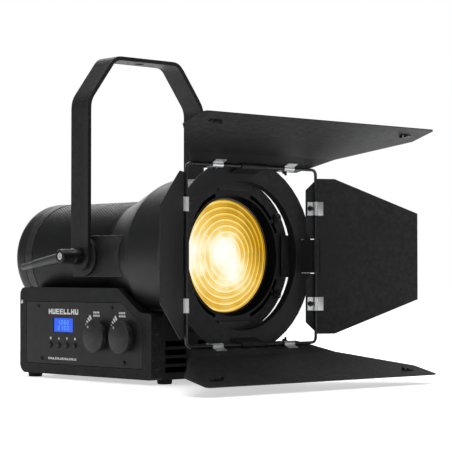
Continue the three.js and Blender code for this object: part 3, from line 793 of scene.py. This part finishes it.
# ---------------------------------------------------------------- control box
def dress_box():
    for node in ("side_cover_left", "side_cover_right"):
        dress(node, "cover", 0.7, segments=3)
    dress("base_chassis", "cover", 0.3)
    dress("base_saddle", "housing", 0.3)
    dress("control_panel", "panel", 0.4)
    for y, z in ((328, -68), (167, -68), (319.5, -139.5), (141, -139.5)):
        head = aim(screw_shape(2.9), Vector((PRINT_X, y, z)), (-1, 0, 0))
        piece(f"panel_screw_{y:.0f}", head, "plastic", "housing", degrees=40)
    back = span("base_chassis")[1].y
    for label, side in (("left", -1), ("right", 1)):
        head = aim(screw_shape(2.6), Vector((side * 86, back - 11, -41.9)), (0, 0, 1))
        piece(f"cover_screw_top_{label}", head, "dark", "housing", degrees=40)
        for z in (-100, -145):
            head = aim(screw_shape(2.6), Vector((side * 88, 86, z)), (0, -1, 0))
            piece(f"cover_screw_front_{label}_{-z}", head, "dark", "housing", degrees=40)
            head = aim(screw_shape(2.6), Vector((side * 88, back, z)), (0, 1, 0))
            piece(f"cover_screw_rear_{label}_{-z}", head, "zinc", "housing", degrees=40)
    head = aim(screw_shape(2.6), Vector((-98, back - 5, -62)), (-1, 0, 0))
    piece("cover_screw_side", head, "zinc", "housing", degrees=40)


def feet():
    for end in ("front", "rear"):
        for side in ("left", "right"):
            low, high = span(f"foot_{end}_{side}")
            centre = Vector(((low.x + high.x) / 2, (low.y + high.y) / 2, low.z))
            r, h = 10.0, high.z - low.z
            profile = [(0, 0.8), (3.2, 0.8), (3.2, 0), (r - 1.6, 0), (r - 0.8, 0.5), (r - 0.5, 1.2), (r, h),
                       (0, h)]
            foot = aim(lathe(profile, 40, closed=False), centre, (0, 0, 1))
            piece(f"rubber_foot_{end}_{side}", foot, "rubber", "housing", [f"foot_{end}_{side}"])


def knobs_and_buttons():
    tall, under = 13.2, 6.6  # height of a knob, and of its disc's lower side
    r, hub, flutes = 21.2, 17.0, 30
    for node, letter in (("zoom_knob", "a"), ("dimmer_knob", "b")):
        low, high = span(node)
        y, z, face = (low.y + high.y) / 2, (low.z + high.z) / 2, low.x
        body = lathe([(0, 0), (hub, 0), (hub, under - 0.3), (r - 0.5, under), (r, under + 0.5),
                      (r, tall - 0.9), (r - 0.3, tall - 0.3), (r - 1.0, tall), (0, tall)], 120,
                     closed=False)
        for v in body.verts:
            radial = math.hypot(v.co.x, v.co.z)
            if radial > r - 0.6 and v.co.y < tall - 0.2:
                flute = 0.1 * (1 + math.cos(math.atan2(v.co.z, v.co.x) * flutes))
                v.co.x *= 1 - flute / radial
                v.co.z *= 1 - flute / radial
        shaft = lathe([(0, -7), (3, -7), (3, 0.2), (0, 0.2)], 20, closed=False)
        knob = aim(merge(body, shaft), Vector((face + tall, y, z)), (-1, 0, 0))
        piece(f"knob_{letter}", knob, "knob", node, [node], degrees=30)
        a = math.radians(128)
        dot_place = Vector((face + 0.1, y - 16 * math.cos(a), z + 16 * math.sin(a)))
        dot = lathe([(0, 0), (1.9, 0), (1.9, 0.1), (1.5, 0.25), (0, 0.25)], 24, closed=False)
        piece(f"knob_dot_{letter}", aim(dot, dot_place, (-1, 0, 0)), "pointer", node)
        dial_marks(y, z, letter)
    for k in range(1, 5):
        low, high = span(f"button_{k}")
        y, z = (low.y + high.y) / 2, (low.z + high.z) / 2
        top = high.x - low.x
        cap = lathe([(0, 0), (3.1, 0), (3.1, top - 0.5), (2.95, top - 0.15), (2.6, top), (0, top)], 32,
                    closed=False)
        piece(f"button_cap_{k}", aim(cap, Vector((high.x, y, z)), (-1, 0, 0)), "panel", f"button_{k}",
              [f"button_{k}"])
        # A thin dark ring round each button, in the foot rubber's black: painted shade that stands in for
        # the recess round the button.
        rim = lathe([(3.4, 0), (4.4, 0), (4.4, 0.12), (3.4, 0.12)], 32)
        piece(f"button_recess_shade_{k}", aim(rim, Vector((PRINT_X, y, z)), (-1, 0, 0)), "rubber", "housing")
        button_icon(k, y, z + 9)


def flat_print(name, points):
    """Printed ink: a very thin raised shape on the panel, outline in y and z."""
    piece(name, prism(points, PRINT_X - 0.12, PRINT_X + 0.05, "x"), "print", "housing")


def dial_marks(y, z, letter):
    """Wedges that grow round the upper rear of a knob, and plain dashes in place of its label."""
    for k in range(5):
        a = math.radians(156 - 8 * k)
        inner, outer = 30.2 - 0.5 * k, 32.2 + 0.6 * k
        half = math.radians(0.8 + 0.55 * k)
        points = []
        for r, t in ((inner, a - half), (outer, a - half), (outer, a + half), (inner, a + half)):
            points.append((y + 4 - r * math.cos(t), z - 1.5 + r * math.sin(t)))
        flat_print(f"dial_mark_{letter}_{k}", points)
    for row, widths in enumerate(((2.2, 3.0, 2.4, 2.6), (3.0, 2.0, 2.6, 3.2))):
        top, left = z + 32.6 - row * 4.2, y + 15
        bottom = top - 2.5
        for k, width in enumerate(widths):
            flat_print(f"dial_label_{letter}_{row}_{k}",
                       [(left - width, top), (left, top), (left, bottom), (left - width, bottom)])
            left -= width + 0.8


# Outlines of four plain signs in a unit square: across from the left, down from the top.
BAR = 0.3
SIGNS = {
    "L": [(0, 0), (BAR, 0), (BAR, 1 - BAR), (1, 1 - BAR), (1, 1), (0, 1)],
    "U": [(0, 0), (BAR, 0), (BAR, 1 - BAR), (1 - BAR, 1 - BAR), (1 - BAR, 0), (1, 0), (1, 1), (0, 1)],
    "E": [(0, 0), (1, 0), (1, 0.2), (BAR, 0.2), (BAR, 0.4), (0.9, 0.4), (0.9, 0.6), (BAR, 0.6), (BAR, 0.8),
          (1, 0.8), (1, 1), (0, 1)],
    "H": [(0, 0), (BAR, 0), (BAR, 0.38), (1 - BAR, 0.38), (1 - BAR, 0), (1, 0), (1, 1), (1 - BAR, 1),
          (1 - BAR, 0.62), (BAR, 0.62), (BAR, 1), (0, 1)],
}


def panel_title():
    """Plain signs where the panel carries its title and, along the bottom, a line of small print."""
    # Name, start (y), top (z), width and height of a sign, and the signs.
    rows = (
        ("title", 304.0, -71.0, 7.0, 7.2, "HUEELLHU"),
        ("footer", 305.0, -137.0, 3.4, 2.9, "EHULEHLUEHULEHLU"),
    )
    for label, left, top, wide, tall, letters in rows:
        for k, letter in enumerate(letters):
            start = left - k * (wide + 1.3 * tall / 7)
            flat_print(f"{label}_sign_{k}", [(start - u * wide, top - v * tall) for u, v in SIGNS[letter]])


def button_icon(k, y, z):
    """A square, an arrow up, an arrow down or a dot over button k."""
    shapes = {
        1: [(y - 1.6, z - 1.6), (y + 1.6, z - 1.6), (y + 1.6, z + 1.6), (y - 1.6, z + 1.6)],
        2: [(y - 1.9, z - 1.4), (y + 1.9, z - 1.4), (y, z + 1.8)],
        3: [(y - 1.9, z + 1.4), (y, z - 1.8), (y + 1.9, z + 1.4)],
        4: [(y + 1.7 * math.cos(math.pi / 6 * i), z + 1.7 * math.sin(math.pi / 6 * i)) for i in range(12)],
    }
    flat_print(f"button_icon_{k}", shapes[k])


# The bars that light up in each digit, lettered clockwise from the top one, with the middle one last.
DIGIT_BARS = {"0": "abcdef", "1": "bc", "2": "abged", "5": "afgcd", "8": "abcdefg"}


def display():
    low, high = span("lcd_screen")
    glass = block(low.x + 0.6, high.x, low.y, high.y, low.z, high.z)
    piece("display_glass", glass, "display", "housing", ["lcd_screen"], edge=0.3)
    x0, x1 = low.x + 0.45, low.x + 0.65
    bars = []
    wide, tall, line = 4.0, 5.6, 0.8

    for row, text in enumerate(("1280", "2150")):
        for column, digit in enumerate(text):
            # Seen from the panel's side, reading runs from the rear (+y) to the front (-y).
            y = high.y - 9 - column * 6.6
            z = high.z - 3.0 - row * 7.4
            waist, foot = z - tall / 2, z - tall
            edges = {
                "a": (y - wide, y, z - line, z),
                "b": (y - wide, y - wide + line, waist, z),
                "c": (y - wide, y - wide + line, foot, waist),
                "d": (y - wide, y, foot, foot + line),
                "e": (y - line, y, foot, waist),
                "f": (y - line, y, waist, z),
                "g": (y - wide, y, waist - line / 2, waist + line / 2),
            }
            for letter in DIGIT_BARS[digit]:
                bars.append(block(x0, x1, *edges[letter]))
    piece("display_digits", merge(*bars), "pixels", "housing")


def sockets():
    for node, material in (("power_inlet", "blue"), ("data_in", "plastic"), ("data_out", "plastic")):
        dress(node, material, 0.4)
        low, high = span(node)
        cx, cz = (low.x + high.x) / 2, (low.z + high.z) / 2
        y = high.y - 6.0
        for k in range(3):
            a = math.radians(90 + 120 * k)
            pin = lathe([(0, 0), (1.2, 0), (1.2, 4), (0.8, 4.6), (0, 4.8)], 16, closed=False)
            place = Vector((cx + 4.6 * math.cos(a), y, cz + 4.6 * math.sin(a)))
            piece(f"{node}_pin_{k}", aim(pin, place, (0, 1, 0)), "zinc", "housing")
        reach = (high.x - low.x) / 2 - 2.6
        for k, (sx, sz) in enumerate(((-1, -1), (1, 1))):
            head = aim(screw_shape(1.8), Vector((cx + sx * reach, low.y + 2.0, cz + sz * reach)), (0, 1, 0))
            piece(f"{node}_screw_{k}", head, "zinc", "housing", degrees=40)


def inside():
    dress("led_carriage", "alloy", 0.2)
    dress("led_module", "phosphor")
    dress("guide_rod", "steel")
    dress("zoom_screw", "steel")
    dress("fan_rotor", "plastic", 0.2)
    dress("power_supply", "alloy", 0.4)
    dress("control_board", "board")


# ---------------------------------------------------------------- floor, light and camera
def pale_floor():
    mesh = bpy.data.meshes.new("floor")
    bm = bmesh.new()
    bmesh.ops.create_grid(bm, x_segments=2, y_segments=2, size=12.0)
    bm.to_mesh(mesh)
    bm.free()
    floor = bpy.data.objects.new("floor", mesh)
    bpy.context.scene.collection.objects.link(floor)
    material, nodes, links = node_material("pale_floor")
    shader = nodes["Principled BSDF"]
    shader.inputs["Roughness"].default_value = 0.75
    shader.inputs["Specular IOR Level"].default_value = 0.2
    patches = remap(nodes, links, noise(nodes, links, 3.0), 0, 1)
    links.new(blend_colors(nodes, links, patches, (0.9,) * 3, (0.93,) * 3), shader.inputs["Base Color"])
    coords = nodes.new("ShaderNodeTexCoord")
    length = nodes.new("ShaderNodeVectorMath")
    length.operation = "LENGTH"
    links.new(coords.outputs["Object"], length.inputs[0])
    shader.inputs["Emission Color"].default_value = (1, 1, 1, 1)
    # The floor glows so that it stays white to the horizon, and less so towards the lamp's own surfaces.
    glow_seen = remap(nodes, links, length.outputs["Value"], 0.55, 0.88, 0.3, 1.4)
    path = nodes.new("ShaderNodeLightPath")
    share = remap(nodes, links, path.outputs["Is Camera Ray"], 0.55, 1.0, 0, 1)
    links.new(math_node(nodes, links, "MULTIPLY", glow_seen, share), shader.inputs["Emission Strength"])
    mesh.materials.append(material)


def soft_lights():
    """A white surround and three softboxes aimed at the barrel."""
    world = bpy.data.worlds.new("studio")
    world.use_nodes = True
    nodes, links = world.node_tree.nodes, world.node_tree.links
    nodes["Background"].inputs["Color"].default_value = (1, 1, 1, 1)
    path = nodes.new("ShaderNodeLightPath")
    lit = remap(nodes, links, path.outputs["Is Camera Ray"], 0.22, 1.0, 0, 1)
    links.new(lit, nodes["Background"].inputs["Strength"])
    bpy.context.scene.world = world

    target = LAMP + Vector((0, 0.13, 0))

    def softbox(name, offset, size, power, size_y=None):
        data = bpy.data.lights.new(name, "AREA")
        data.shape = "RECTANGLE"
        data.size = size
        data.size_y = size_y or size
        data.energy = power
        light = bpy.data.objects.new(name, data)
        light.location = target + Vector(offset)
        light.rotation_mode = "QUATERNION"
        light.rotation_quaternion = (target - light.location).to_track_quat("-Z", "Y")
        bpy.context.scene.collection.objects.link(light)

    softbox("top_box", (0.1, 0.1, 1.9), 2.2, 50)
    softbox("left_box", (-1.9, 0.1, 0.5), 0.8, 3.2, 1.6)
    softbox("rear_box", (0.9, 1.9, 0.9), 0.8, 9, 1.4)


def camera():
    """The camera stands in front of the lamp's left corner, low, looking very slightly up. Distances are in
    units of the wire square: its half side is 120 units."""
    unit = wire_half() / 120 / 1000
    yaw, pitch = math.radians(42.555), math.radians(-1.612)
    distance, shift_right, shift_up = 2350.707, 36.659, -39.865
    right = Vector((math.cos(yaw), -math.sin(yaw), 0))
    ahead = Vector((math.sin(yaw) * math.cos(pitch), math.cos(yaw) * math.cos(pitch), -math.sin(pitch)))
    up = right.cross(ahead)
    place = LAMP + (-right * shift_right - up * shift_up - ahead * distance) * unit
    data = bpy.data.cameras.new("photo_camera")
    data.sensor_width = 36.0
    data.lens = 138.81337
    data.clip_start, data.clip_end = 0.05, 50
    camera_object = bpy.data.objects.new("photo_camera", data)
    camera_object.matrix_world = Matrix((
        (right.x, up.x, -ahead.x, place.x),
        (right.y, up.y, -ahead.y, place.y),
        (right.z, up.z, -ahead.z, place.z),
        (0, 0, 0, 1),
    ))
    bpy.context.scene.collection.objects.link(camera_object)
    bpy.context.scene.camera = camera_object
    bpy.context.scene.view_settings.view_transform = "Standard"


camera()
pale_floor()
soft_lights()
wire_square()
barn_doors()
lens_glass()
nose()
brackets()
barrel()
perforated_shell()
rear_cap()
yoke_and_clamp()
dress_box()
feet()
knobs_and_buttons()
panel_title()
display()
sockets()
inside()

bpy.context.view_layer.update()
